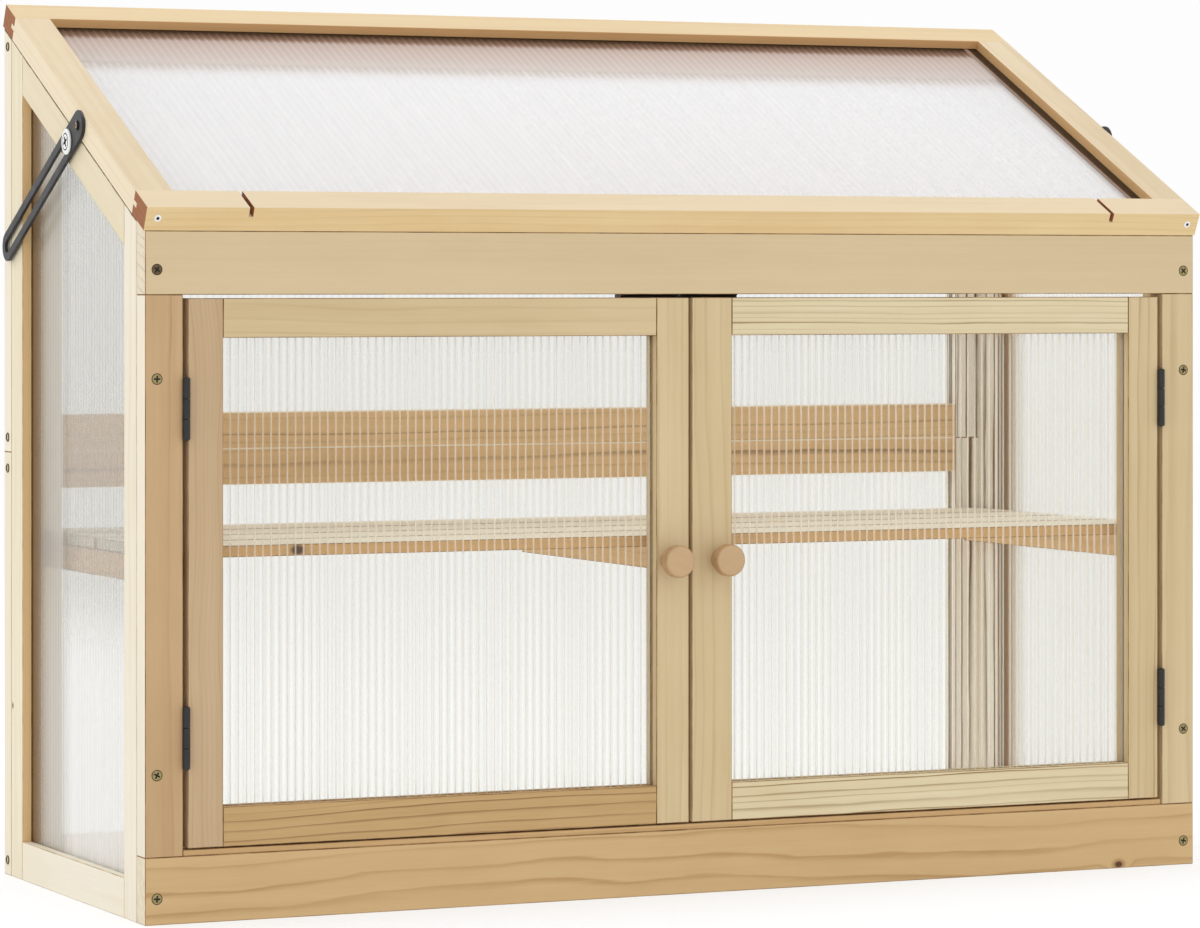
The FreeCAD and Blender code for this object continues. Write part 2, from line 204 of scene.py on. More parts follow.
def finish_material(graph, shader):
    graph.node("OutputMaterial", {"Surface": shader.outputs[0]})


def finish_surface(g, colour, rough, normal, specular=None, metallic=None):
    finish_material(g, g.node("BsdfPrincipled", {
        "Base Color": colour, "Roughness": rough, "Normal": normal,
        "Specular IOR Level": specular, "Metallic": metallic}))


# Wood. One group draws the figure of a board in the board's own directions: growth rings
# round a pith beside the board, fibres, slow changes of tone, and a knot where one is set.

WOOD_INPUTS = (("Along", "Vector"), ("Across", "Vector"), ("Pith", "Vector"),
               ("Pale", "Color"), ("Dark", "Color"), ("Line", "Color"), ("End", "Color"),
               ("Side", "Color"), ("Side axis", "Vector"), ("Side share", "Float"),
               ("Ring pitch", "Float"), ("Lines", "Float"), ("Sway", "Float"),
               ("Knot", "Vector"), ("Knot size", "Float"))


def wood_group():
    tree = bpy.data.node_groups.new("wood figure", "ShaderNodeTree")
    for name, kind in WOOD_INPUTS:
        tree.interface.new_socket(name, in_out="INPUT", socket_type="NodeSocket" + kind)
    for name, kind in (("Color", "Color"), ("Roughness", "Float"), ("Height", "Float")):
        tree.interface.new_socket(name, in_out="OUTPUT", socket_type="NodeSocket" + kind)
    g = Graph(tree)
    given = tree.nodes.new("NodeGroupInput").outputs
    along, across = given["Along"], given["Across"]
    coords = g.node("TexCoord").outputs
    cross = g.node("VectorMath", {0: along, 1: across}, operation="CROSS_PRODUCT").outputs[0]
    pith = g.node("SeparateXYZ", {0: given["Pith"]}).outputs
    u = g.dot(coords["Object"], along)
    v = g.dot(coords["Object"], across)
    w = g.dot(coords["Object"], cross)
    shifted = g.calc("ADD", u, pith[2])

    def figure(along_rate, across_rate, detail, start=0.0):
        place = g.pack(g.muladd(shifted, along_rate, start), g.times(v, across_rate),
                       g.times(w, across_rate))
        return g.minus(g.noise(place, 1.0, detail), 0.5)

    # Distance from the knot, longer along the grain
    knot_u = g.minus(u, g.dot(given["Knot"], along))
    knot_v = g.minus(v, g.dot(given["Knot"], across))
    knot_w = g.minus(w, g.dot(given["Knot"], cross))
    from_knot = g.length(g.pack(g.times(knot_u, 0.7), knot_v, knot_w))
    knot_share = g.calc("DIVIDE", from_knot, g.calc("MAXIMUM", given["Knot size"], 0.0001))
    bend = g.calc("POWER", 0.75, g.times(knot_share, knot_share))
    bend = g.times(bend, given["Knot size"])

    # Growth rings: wide pale early wood, then a thin dark line of late wood
    sway = g.times(given["Sway"], 0.001)
    sway_v = g.muladd(figure(2.1, 7.0, 2.0), sway, g.minus(v, pith[0]))
    sway_w = g.muladd(figure(2.1, 7.0, 2.0, 7.3), sway, g.minus(w, pith[1]))
    radius = g.muladd(bend, 2.2, g.length(g.pack(sway_v, sway_w, 0.0)))
    ring = g.calc("DIVIDE", radius, given["Ring pitch"])
    unevenness = g.noise(g.pack(g.times(ring, 0.45), 0.0, 0.0), 1.0, 1.0)
    ring = g.muladd(unevenness, 1.6, ring)
    ring = g.muladd(figure(14.0, 160.0, 2.0), 0.30, ring)
    share = g.calc("FRACT", ring)
    late = g.times(g.step(share, 0.40, 0.90), g.minus(1.0, g.step(share, 0.91, 0.99)))
    late = g.times(late, g.calc("POWER", g.step(share, 0.0, 0.95), 9.0))
    each = g.node("TexWhiteNoise", {"W": g.calc("FLOOR", ring)}, noise_dimensions="1D").outputs[0]
    fade = g.step(figure(3.0, 25.0, 2.0, 11.0), -0.22, 0.14)
    late = g.times(late, g.muladd(each, 0.75, 0.25))
    late = g.times(late, g.muladd(fade, 0.7, 0.3))

    fibre = figure(16.0, 1100.0, 2.0)
    streak = figure(1.4, 110.0, 3.0, 3.1)
    drift = figure(3.0, 9.0, 2.0, 5.7)
    cloud = figure(22.0, 60.0, 2.0, 1.9)
    tone = g.muladd(streak, 0.90, 0.35)
    tone = g.muladd(fibre, 0.40, tone)
    tone = g.muladd(drift, 0.90, tone)
    tone = g.muladd(cloud, 0.35, tone)
    tone = g.clamp(tone)
    line_share = g.clamp(g.times(late, given["Lines"]))
    knot_rim = g.times(g.step(knot_share, 1.7, 0.8), 0.6)
    knot_core = g.step(knot_share, 0.9, 0.45)

    def marked(colour, lines):
        """A plain tone with the late wood's lines and the knot drawn on it."""
        colour = g.mix(lines, colour, given["Line"])
        colour = g.mix(knot_rim, colour, given["Line"])
        return g.mix(knot_core, colour, KNOT_DARK)

    colour = marked(g.mix(tone, given["Pale"], given["Dark"]), line_share)

    # The face that looks along the side axis can have a tone of its own. On some boards that
    # is the wood's own tone, on others a painted light or painted shade for a face that the
    # light reaches more or less than the rest.
    side_dark = g.mix(0.10, given["Side"], BLACK)
    side_colour = marked(g.mix(tone, given["Side"], side_dark), g.times(line_share, 0.6))
    facing = g.dot(coords["Normal"], given["Side axis"])
    is_side = g.times(g.step(facing, 0.70, 0.90), given["Side share"])
    colour = g.mix(is_side, colour, side_colour)

    # Ends, where the fibres are cut across
    pore = g.noise(g.pack(0.0, g.times(v, 2600.0), g.times(w, 2600.0)), 1.0)
    is_end = g.step(g.calc("ABSOLUTE", g.dot(coords["Normal"], along)), 0.70, 0.90)
    dark_end = g.mix(0.45, given["End"], BLACK)
    end_tone = g.muladd(late, 0.80, g.times(pore, 0.30))
    end_tone = g.muladd(figure(0.0, 150.0, 3.0), 0.70, end_tone)
    colour = g.mix(is_end, colour, g.mix(end_tone, given["End"], dark_end))

    height = g.muladd(fibre, 1.2, g.times(late, 0.5))
    rough = g.muladd(late, -0.10, g.muladd(fibre, 0.25, 0.62))
    rough = g.muladd(is_end, 0.15, rough)
    out = tree.nodes.new("NodeGroupOutput")
    g.feed(out.inputs["Color"], colour)
    g.feed(out.inputs["Roughness"], rough)
    g.feed(out.inputs["Height"], height)
    return tree


WOOD = wood_group()


def wood(name, along, across, tone, number, pith=(90, 12), pitch=5.0, lines=0.5, sway=14,
         knot=None, side=None, side_axis=-X, gap_shadow=None):
    """A board's own wood. The pith's place, across the board and through it, and the ring
    pitch are in millimetres; the number sets which stretch of the figure the board shows.
    The side tone is for faces whose normal has a dot product of 1 with the side axis.
    A gap shadow is a direction and the place along it from which a painted shadow line begins,
    where the lid shades the rail under it."""
    pale, dark, line, end = tone
    material, g = new_material(name)
    group = g.tree.nodes.new("ShaderNodeGroup")
    group.node_tree = WOOD
    values = {"Along": along, "Across": across,
              "Pith": (pith[0] * MM, pith[1] * MM, 1.37 * number),
              "Pale": pale, "Dark": dark, "Line": line, "End": end,
              "Side": side or pale, "Side axis": side_axis, "Side share": 1.0 if side else 0.0,
              "Ring pitch": pitch * MM, "Lines": lines, "Sway": sway,
              "Knot": knot[0] if knot else (9, 9, 9), "Knot size": knot[1] if knot else 0.001}
    for key, value in values.items():
        group.inputs[key].default_value = value
    bump = g.bump(group.outputs["Height"], 0.12 * MM, 0.6)
    colour = group.outputs["Color"]
    # Painted shadow: a dark line, ragged with noise, on the rail next to the lid's edge.
    if gap_shadow:
        direction, start = gap_shadow
        place = g.place()
        shadow_reach = g.muladd(g.noise(place, 70.0, 3.0), -2.2 * MM, g.dot(place, direction))
        in_gap_shadow = g.step(shadow_reach, start - 1.4 * MM, start - 0.7 * MM)
        colour = g.mix(in_gap_shadow, colour, GAP_SHADOW_DARK)
    finish_surface(g, colour, group.outputs["Roughness"], bump, specular=0.3)
    return material


CREAM_END = shade(232, 220, 194)
RED_END = shade(160, 102, 64)


def tones(pale, dark, line, end=CREAM_END):
    """A board's pale and dark wood, its lines of late wood and its end."""
    return shade(*pale), shade(*dark), shade(*line), end


APRON = tones((214, 193, 155), (203, 181, 142), (182, 154, 108))
BROWN = tones((209, 177, 129), (193, 160, 111), (150, 108, 54))
JAMB = tones((200, 168, 127), (181, 147, 105), (146, 112, 72))
ROSY = tones((199, 172, 136), (181, 151, 116), (152, 120, 88))
SILL = tones((208, 172, 122), (188, 150, 100), (146, 106, 58))
GOLD = tones((202, 169, 119), (176, 139, 89), (122, 86, 46))
HONEY = tones((213, 192, 152), (196, 171, 128), (158, 124, 78))
STRAW = tones((224, 210, 174), (206, 186, 145), (138, 108, 64))
# Painted light: the next three tones are a pale cream copy of the wood for the boards on the
# left, standing in for the strong light on that side.
LIT_CREAM = tones((238, 231, 214), (224, 211, 184), (198, 174, 134))
LIT_REAR = tones((235, 226, 202), (221, 207, 174), (198, 172, 130))
LIT_RAIL = tones((230, 218, 190), (214, 197, 162), (190, 162, 120))
LID = tones((229, 203, 154), (212, 180, 126), (184, 146, 92), RED_END)
LID_SIDE = tones((210, 194, 166), (190, 168, 130), (170, 138, 94))
# Painted light: the next three tones are the wood's tone raised, up to near white, to make up for
# the light lost through the sheets and the shade inside the greenhouse.
LIT_INSIDE = tones((236, 199, 148), (212, 172, 120), (146, 106, 60))
LIT_CORNER = tones((255, 252, 244), (252, 243, 224), (120, 84, 46))
LIT_SHELF = tones((255, 250, 234), (252, 240, 214), (184, 152, 104))
LID_BACK = tones((222, 176, 122), (204, 156, 104), (168, 118, 72), RED_END)
# Painted shade: the knob's wood is browner at the rim and neck than on its face, standing in for
# the shading of its round form.
KNOB = tones((188, 154, 112), (166, 130, 90), (132, 96, 60), shade(180, 144, 102))
# Painted light: a pale cream copy of the wood for faces that look left, where the light is
# strongest.
LIT_SIDE = shade(238, 229, 208)
BACK_SIDE = shade(234, 218, 186)
LID_TOP = shade(212, 194, 162)
LID_BACK_TOP = shade(209, 187, 148)
LID_OUTER = shade(236, 220, 190)
# Painted shade: the lid's right rail's inner face, browner as it stands in shadow.
SHADED_LID_INNER = shade(206, 164, 112)
# Painted light: the knob's face, paler than its rim.
LIT_KNOB_FACE = shade(198, 166, 127)
# Painted shade: the left rear stile's face that looks forward, browner as it stands in shadow.
SHADED_REVEAL = shade(248, 210, 152)
SHELF_EDGE = shade(218, 174, 118)


def edge_material(name, pale, dark):
    """The rounded edges of boards. Their dark tones are partly dust and oil and partly painted
    shade in the joints and under the kickboard; pale tones are a painted highlight.
    """
    material, g = new_material(name)
    place = g.place()
    dust_and_shade = g.step(g.noise(place, 45.0, 3.0), 0.35, 0.65)
    colour = g.mix(dust_and_shade, shade(*pale), shade(*dark))
    rough = g.muladd(g.noise(place, 300.0), 0.3, 0.55)
    bump = g.bump(g.noise(place, 1500.0), 0.05 * MM, 0.5)
    finish_surface(g, colour, rough, bump, specular=0.2)
    return material


EDGE = edge_material("board_edge", (168, 134, 92), (122, 88, 54))
# Painted light: paler edges for the lit cream boards on the left.
PALE_EDGE = edge_material("pale_board_edge", (206, 184, 146), (168, 140, 98))
# Painted highlight: near-white edges for the back rails, standing in for the light that catches
# their arrises.
LIT_EDGE = edge_material("lit_board_edge", (255, 250, 238), (246, 236, 214))
lid_low, lid_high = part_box("lid_front_rail")
lid_front_foot = Vector((0, lid_low.y + stock * sin(lid_pitch), lid_low.z))
# The painted shadow line under the lid begins a little below the plane of the lid's lower face.
LID_GAP_SHADOW = (lid_off, lid_front_foot.dot(lid_off) - 3.3 * MM)


def soften(node, width=edge_round):
    """Round the sharp edges of a CAD node with modifiers, so that its mesh is kept."""
    node.modifiers.new("weld", "WELD").merge_threshold = 0.01 * MM
    flat = node.modifiers.new("flat", "DECIMATE")
    flat.decimate_type = "DISSOLVE"
    flat.angle_limit = radians(0.5)
    bevel = node.modifiers.new("round", "BEVEL")
    bevel.width = width
    bevel.segments = 2
    bevel.limit_method = "ANGLE"
    bevel.angle_limit = radians(35)
    bevel.material = len(node.data.materials) - 1


def dress(name, material, width=edge_round, edge=None):
    node = nodes[name]
    node.data.materials.clear()
    node.data.materials.append(material)
    if edge:
        node.data.materials.append(edge)
    if width:
        soften(node, width)


shelf_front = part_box("shelf_slats")[0].y
SHELF_KNOT = (Vector((-0.3700, shelf_front, 0.3150)), 6.0 * MM)
KICK_KNOT = (Vector((0.4390, front_y, 0.0035)), 4.0 * MM)
SIDE_KNOT = (Vector((-half_w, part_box("left_side_rear_stile")[1].y - 4 * MM, 0.1576)), 2.4 * MM)

BEHIND = dict(side=BACK_SIDE, side_axis=Y)
OUTSIDE = dict(side=BACK_SIDE, side_axis=X)
BOTH = dict(side=BACK_SIDE, side_axis=X + Y)

# Board, along, across, tone, rounded edges and what else its figure needs
BOARDS = [
    ("apron", X, Z, APRON, EDGE, dict(lines=0.10, pith=(160, 40), pitch=9)),
    ("kickboard", X, Z, BROWN, EDGE, dict(lines=1.0, pith=(-75, 18), pitch=9, sway=30,
                                          knot=KICK_KNOT, side=LIT_SIDE)),
    ("left_jamb", Z, X, JAMB, EDGE, dict(lines=0.5, pith=(-560, 20), pitch=4, side=LIT_SIDE)),
    ("right_jamb", Z, X, HONEY, EDGE, dict(lines=0.6, pith=(560, 12), **OUTSIDE)),
    ("left_side_front_stile", Z, Y, LIT_CREAM, PALE_EDGE, dict(
        lines=0.4, pith=(-280, 12), pitch=4, gap_shadow=LID_GAP_SHADOW)),
    ("left_side_rear_stile", Z, Y, LIT_REAR, PALE_EDGE, dict(
        lines=0.4, pith=(290, 12), knot=SIDE_KNOT, side=SHADED_REVEAL, side_axis=-Y, gap_shadow=LID_GAP_SHADOW)),
    ("left_side_bottom_rail", Y, Z, LIT_CREAM, PALE_EDGE, dict(lines=0.1, pith=(-60, 40), pitch=9)),
    ("left_side_top_rail", lid_along, lid_off, LIT_RAIL, PALE_EDGE, dict(
        lines=0.15, pith=(480, 60), pitch=9, gap_shadow=LID_GAP_SHADOW)),
    ("right_side_front_stile", Z, Y, HONEY, EDGE, dict(lines=0.5, pith=(-280, 12), **OUTSIDE)),
    ("right_side_rear_stile", Z, Y, LIT_CORNER, EDGE, dict(
        lines=2.4, pith=(290, 60), sway=4, **OUTSIDE)),
    ("right_side_bottom_rail", Y, Z, HONEY, EDGE, dict(lines=0.6, pith=(-60, 30), **OUTSIDE)),
    ("right_side_top_rail", lid_along, lid_off, HONEY, EDGE, dict(
        lines=0.6, pith=(480, 40), **OUTSIDE)),
    ("back_lower_left_stile", Z, X, LIT_CREAM, EDGE, dict(lines=0.4, pith=(-600, 30))),
    ("back_lower_right_stile", Z, X, LIT_CORNER, EDGE, dict(
        lines=2.4, pith=(640, 30), pitch=7, sway=4, **BOTH)),
    ("back_lower_bottom_rail", X, Z, LIT_INSIDE, EDGE, dict(lines=0.8, pith=(-80, 30), **BEHIND)),
    ("back_lower_top_rail", X, Z, LIT_INSIDE, LIT_EDGE, dict(
        lines=0.9, pith=(300, 50), pitch=4, sway=8, **BEHIND)),
    ("back_upper_left_stile", Z, X, LIT_CREAM, EDGE, dict(lines=0.4, pith=(-600, 30), gap_shadow=LID_GAP_SHADOW)),
    ("back_upper_right_stile", Z, X, LIT_CORNER, EDGE, dict(
        lines=2.4, pith=(640, 24), pitch=7, sway=4, **BOTH)),
    ("back_upper_bottom_rail", X, Z, LIT_INSIDE, LIT_EDGE, dict(
        lines=0.9, pith=(520, 50), pitch=4, sway=8, **BEHIND)),
    ("back_upper_top_rail", X, Z, LIT_INSIDE, EDGE, dict(lines=0.6, pith=(860, 40), **BEHIND)),
    ("shelf_slats", X, Y, LIT_SHELF, EDGE, dict(
        lines=0.7, pith=(-240, 20), knot=SHELF_KNOT, side=SHELF_EDGE, side_axis=-Y)),
    *((name, Y, Z, LIT_INSIDE, EDGE, dict(lines=0.6, pith=(250, 30)))
      for name in ("left_cleat", "right_cleat", "shelf_batten")),
    ("left_door_hinge_stile", Z, X, ROSY, EDGE, dict(
        lines=0.5, pith=(-620, 30), pitch=3.2, sway=60)),
    ("left_door_bottom_rail", X, Z, GOLD, EDGE, dict(lines=1.0, pith=(-30, 40), sway=30)),
    ("left_door_top_rail", X, Z, HONEY, EDGE, dict(lines=0.35, pith=(600, 30))),
    ("right_door_hinge_stile", Z, X, HONEY, EDGE, dict(lines=0.9, pith=(620, 30), pitch=6)),
    ("right_door_bottom_rail", X, Z, STRAW, EDGE, dict(lines=1.5, pith=(-90, 20), pitch=4.6)),
    ("right_door_top_rail", X, Z, STRAW, EDGE, dict(lines=1.3, pith=(700, 30), pitch=4)),
    ("lid_front_rail", X, lid_along, LID, None, dict(
        lines=0.35, pith=(120, 60), pitch=7, side=LID_TOP, side_axis=lid_off)),
    ("lid_back_rail", X, lid_along, LID_BACK, None, dict(
        lines=0.35, pith=(720, 60), pitch=7, side=LID_BACK_TOP, side_axis=lid_off)),
    ("lid_left_rail", lid_along, X, LID_SIDE, None, dict(
        lines=0.4, pith=(-640, 60), pitch=8, side=LID_OUTER)),
    ("lid_right_rail", lid_along, X, LID_SIDE, None, dict(
        lines=0.5, pith=(640, 60), pitch=8, side=SHADED_LID_INNER)),
]


def dress_boards():
    for number, (name, along, across, tone, edge, look) in enumerate(BOARDS):
        dress(name, wood(name, along, across, tone, number + 1, **look), edge=edge)


# Twin-wall sheets. The walls of the cells are in the CAD nodes. Their skins are almost
# clear, and the ribs between the cells are milky. Along some frames a painted shadow and a
# painted reflection of the frame lie on the sheet: each is a direction, the place of the frame's
# edge along it, how far the ribs carry the paint on, and stops of distance from the edge, colour
# and strength.

LID_SHADOW_BAND = [(0, (56, 42, 32), 0.95), (4, (66, 48, 36), 0.95), (17, (168, 136, 118), 0.90),
            (24, (224, 206, 196), 0.85), (72, (232, 225, 221), 0.75),
            (94, (244, 242, 242), 0.0)]
LID_SHADOW_STRIP = [(0, (46, 36, 28), 0.95), (9, (60, 44, 34), 0.90), (10, (158, 112, 78), 0.85),
             (12, (216, 204, 196), 0.40), (13.5, (146, 104, 74), 0.80),
             (15, (236, 232, 230), 0.0)]
RIGHT_SHADOW_BAND = [(0, (160, 124, 80), 0.80), (12, (190, 164, 128), 0.60),
              (26, (216, 204, 182), 0.30), (42, (230, 226, 218), 0.0)]
SIDE_SHADOW_BAND = [(0, (84, 58, 26), 0.95), (4, (96, 70, 38), 0.95), (6, (132, 106, 78), 0.85),
             (20, (162, 142, 116), 0.60), (36, (212, 206, 194), 0.48),
             (84, (224, 222, 216), 0.48), (100, (224, 222, 216), 0.0)]


def sheet_material(name, across, through, middle, skin=0.03, rib=0.30, sheen=0.5,
                   passes=0.968, stripes=0.0, rib_tone=(234, 231, 222), shades=(),
                   milk=(253, 253, 252), thick=None, lets_in=0.4):
    """Milky where it is a rib or, faintly, an outer skin, and glossy on the outer skins. The
    cells run across, and the sheet's middle lies there in the direction through it. Milkier below
    is the height where the skin starts to turn milkier and whiter, where it ends, and by how
    much: painted light, so that the upper part, left clearer, reads as shaded."""
    material, g = new_material(name)
    coords = g.node("TexCoord").outputs
    place = coords["Object"]
    depth = g.calc("ABSOLUTE", g.minus(g.dot(place, through), middle))
    is_outer = g.calc("GREATER_THAN", depth, sheet_half - 0.1 * MM)
    is_rib = g.calc("GREATER_THAN", g.calc("ABSOLUTE", g.dot(coords["Normal"], across)), 0.5)
    side_place = g.dot(place, across)
    cloud = g.noise(g.pack(g.times(side_place, 60.0), 0.0, 0.0), 1.0, 3.0)
    share = g.calc("FRACT", g.calc("DIVIDE", side_place, cell_pitch))
    wall = g.step(g.calc("ABSOLUTE", g.minus(share, 0.5)), 0.26, 0.10)
    ribbed = g.times(g.times(wall, is_outer), stripes)
    haze = g.times(is_outer, g.muladd(cloud, skin, skin / 2))
    whitened = 1.0
    # Painted light: the sheet turns milkier and plainer white towards the bottom.
    if thick:
        high, low, more = thick
        lowness = g.step(g.dot(place, Z), high, low)
        haze = g.times(haze, g.muladd(lowness, more, 1.0))
        whitened = g.muladd(lowness, -0.85, 1.0)
        # Only one skin has stripes here, as those of two would cancel at a grazing angle.
        ribbed = g.times(ribbed, g.calc("LESS_THAN", g.dot(place, through), middle))
        ribbed = g.times(ribbed, whitened)
    gloss = g.node("LayerWeight", {"Blend": 0.2}).outputs["Fresnel"]
    gloss = g.times(g.times(gloss, is_outer), sheen)
    amount = g.calc("ADD", g.calc("ADD", haze, gloss), ribbed)
    amount = g.calc("MAXIMUM", amount, g.times(is_rib, rib))
    tint = g.mix(cloud, shade(*milk), shade(*(value - 10 for value in milk)))
    drawn = g.calc("DIVIDE", ribbed, g.calc("MAXIMUM", amount, 0.01))
    rib_share = g.calc("MAXIMUM", is_rib, drawn)
    tint = g.mix(g.times(rib_share, whitened), tint, shade(*rib_tone))
    # Painted shadow and reflection of a frame on the sheet, from the frame's edge inward, with
    # darker lines on the ribs.
    for direction, edge, carry, stops in shades:
        away = g.minus(edge, g.dot(place, direction))
        away = g.muladd(g.minus(wall, 0.5), carry, away)
        width = stops[-1][0]
        ramp = g.node("ValToRGB", {"Fac": g.calc("DIVIDE", away, width * MM)})
        elements = ramp.color_ramp.elements
        for number, (reach, tone, strength) in enumerate(stops):
            stop = elements[number] if number < 2 else elements.new(reach / width)
            stop.position = reach / width
            stop.color = shade(*tone)[:3] + (strength,)
        strength = g.times(ramp.outputs["Alpha"], is_outer)
        shadow_lined = g.mix(g.muladd(wall, -0.15, 0.15), ramp.outputs["Color"], BAND_RIB_SHADE)
        tint = g.mix(g.clamp(g.times(strength, 4.0)), tint, shadow_lined)
        amount = g.calc("MAXIMUM", amount, strength)
    solid = g.node("BsdfPrincipled", {"Base Color": tint, "Roughness": 0.16,
                                      "Specular IOR Level": 0.6})
    lit = g.node("BsdfTranslucent", {"Color": tint})
    milky = g.node("MixShader", {0: lets_in, 1: solid.outputs[0], 2: lit.outputs[0]})
    passing = g.mix(is_outer, WHITE, (passes * 0.998, passes, passes * 0.993, 1.0))
    clear = g.node("BsdfTransparent", {"Color": passing})
    shader = g.node("MixShader", {0: amount, 1: clear.outputs[0], 2: milky.outputs[0]})
    finish_material(g, shader)
    return material


def dress_sheet(name, *place, **look):
    dress(name, sheet_material(name, *place, **look), 0)


def dress_sheets():
    for side in SIDES:
        name = side + "_door_sheet"
        dress_sheet(name, X, Y, box_middle(name).y, skin=0.02, rib=0.40, rib_tone=(255, 249, 238))
    name = "left_side_sheet"
    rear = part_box("left_side_rear_stile")[0].y
    dress_sheet(name, Y, X, box_middle(name).x, skin=0.10, rib=0.08, sheen=0.30, passes=0.995,
                stripes=0.36, rib_tone=(130, 124, 108), shades=[(Y, rear, 4 * MM, SIDE_SHADOW_BAND)],
                thick=(0.285, 0.19, 3.0), lets_in=0.10)
    name = "right_side_sheet"
    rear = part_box("right_side_rear_stile")[0].y
    dress_sheet(name, Y, X, box_middle(name).x, skin=0.20, rib=0.16, sheen=0.30, passes=0.992,
                stripes=0.12, rib_tone=(232, 233, 229), shades=[(Y, rear, 9 * MM, RIGHT_SHADOW_BAND)],
                lets_in=0.8)
    for name, passes in (("back_lower_sheet", 0.968), ("back_upper_sheet", 0.950)):
        dress_sheet(name, X, Y, box_middle(name).y, skin=0.03, rib=0.20, passes=passes,
                    stripes=0.10, rib_tone=(206, 208, 204))
    # The lid's sheet and rails slope, so each is placed from its lowest front corner.
    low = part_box("lid_sheet")[0]
    corner = Vector((0, low.y + 2 * sheet_half * sin(lid_pitch), low.z))
    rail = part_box("lid_back_rail")[0]
    back_edge = Vector((0, rail.y + stock * sin(lid_pitch), rail.z)).dot(lid_along)
    right_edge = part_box("lid_right_rail")[0].x
    dress_sheet("lid_sheet", X, lid_off, corner.dot(lid_off) + sheet_half, skin=0.46, rib=0.16,
                sheen=0.9, passes=0.988, stripes=0.08, rib_tone=(210, 208, 210),
                milk=(251, 252, 255), lets_in=0.42,
                shades=[(lid_along, back_edge, 3 * MM, LID_SHADOW_BAND),
                        (X, right_edge, 0, LID_SHADOW_STRIP)])


# Metals and plastics

def plated(name, bright, dull, rough=0.32):
    """Zinc plated steel: patches of sheen, a fine grain and dark specks."""
    material, g = new_material(name)
    place = g.place()
    patch = g.noise(place, 260.0, 3.0)
    speck = g.step(g.noise(place, 2400.0, 1.0), 0.62, 0.72)
    colour = g.mix(patch, shade(*bright), shade(*dull))
    colour = g.mix(g.times(speck, 0.5), colour, SPECK_DARK)
    roughness = g.muladd(patch, 0.3, rough - 0.12)
    bump = g.bump(g.noise(place, 1800.0, 2.0), 0.03 * MM, 0.4)
    finish_surface(g, colour, roughness, bump, metallic=0.9)
    return material


def coated(name, tone, shadow_reach, rough=0.42):
    """Powder coat or moulded plastic: fine orange peel, a little duller in patches."""
    material, g = new_material(name)
    place = g.place()
    patch = g.noise(place, 90.0, 3.0)
    colour = g.mix(patch, shade(*tone), shade(*shadow_reach))
    roughness = g.muladd(patch, 0.25, rough - 0.1)
    bump = g.bump(g.noise(place, 1300.0, 2.0), 0.05 * MM, 0.5)
    finish_surface(g, colour, roughness, bump, specular=0.5)
    return material


ZINC = plated("zinc", (224, 224, 222), (168, 168, 168), 0.30)
# Painted reflection: zinc heads drawn as a plain white coat, standing in for the white studio
# they reflect.
WHITE_SHEEN_ZINC = coated("white_sheen_zinc", (246, 246, 246), (222, 222, 222), 0.30)
YELLOW_ZINC = plated("yellow_zinc", (186, 170, 118), (126, 110, 68), 0.36)
BRASS = plated("brass", (236, 196, 150), (196, 150, 104), 0.36)
DARK_ZINC = plated("dark_zinc", (136, 110, 82), (74, 56, 42), 0.34)
BLACK_COAT = coated("black_coat", (44, 43, 44), (30, 29, 30), 0.5)
BLACK_HINGE = coated("black_hinge", (30, 30, 31), (22, 22, 22), 0.38)
BLACK_PLASTIC = coated("black_plastic", (34, 34, 35), (26, 26, 27), 0.5)
# Painted shade: near black for cross recesses, rings round screw heads, the stud's groove and the
# nails' dimples.
RECESS_SHADE = coated("recess", (20, 18, 15), (12, 11, 10), 0.7)
MAGNET = plated("magnet", (120, 120, 124), (84, 84, 88), 0.5)


# Pieces are collected in one mesh at a time, each part placed by a matrix.

class Piece:
    def __init__(self, name):
        self.name = name
        self.mesh = bmesh.new()
        self.materials = []

    def add(self, made, matrix, material):
        """Add a mesh made by one of the functions below, and free it."""
        if material not in self.materials:
            self.materials.append(material)
        index = self.materials.index(material)
        made.transform(matrix)
        if matrix.determinant() < 0:
            bmesh.ops.reverse_faces(made, faces=made.faces)
        for face in made.faces:
            face.material_index = index
        part = bpy.data.meshes.new("part")
        made.to_mesh(part)
        made.free()
        self.mesh.from_mesh(part)
        bpy.data.meshes.remove(part)

    def done(self, body, replaced=()):
        mesh = bpy.data.meshes.new(self.name)
        self.mesh.to_mesh(mesh)
        self.mesh.free()
        for material in self.materials:
            mesh.materials.append(material)
        mesh.shade_smooth()
        mesh.set_sharp_from_angle(angle=radians(35))
        made = new_object(self.name, mesh)
        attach(made, body)
        for node in replaced:
            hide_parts(node)
        return made


def axes(origin, x_dir, y_dir):
    """The matrix that moves a mesh from its own axes to an origin and two directions."""
    z_dir = x_dir.cross(y_dir)
    rows = [(x_dir[i], y_dir[i], z_dir[i], origin[i]) for i in range(3)]
    return Matrix(rows + [(0, 0, 0, 1)])


def lift(height):
    return Matrix.Translation((0, 0, height))


MIRRORED = {"left": Matrix.Identity(4), "right": Matrix.Scale(-1, 4, X)}


def lathe(profile, steps=48):
    """A turned form about Z, from points (radius, height) from foot to top."""
    made = bmesh.new()
    rings = []
    for radius, height in profile:
        if radius == 0:
            rings.append([made.verts.new((0, 0, height))])
            continue
        turns = [2 * pi * i / steps for i in range(steps)]
        rings.append([made.verts.new((radius * cos(a), radius * sin(a), height))
                      for a in turns])
    for low, high in zip(rings, rings[1:]):
        for i in range(steps):
            j = (i + 1) % steps
            corners = [low[i % len(low)], low[j % len(low)], high[j % len(high)],
                       high[i % len(high)]]
            unique = list(dict.fromkeys(corners))
            if len(unique) > 2:
                made.faces.new(unique)
    face_outward(made)
    return made


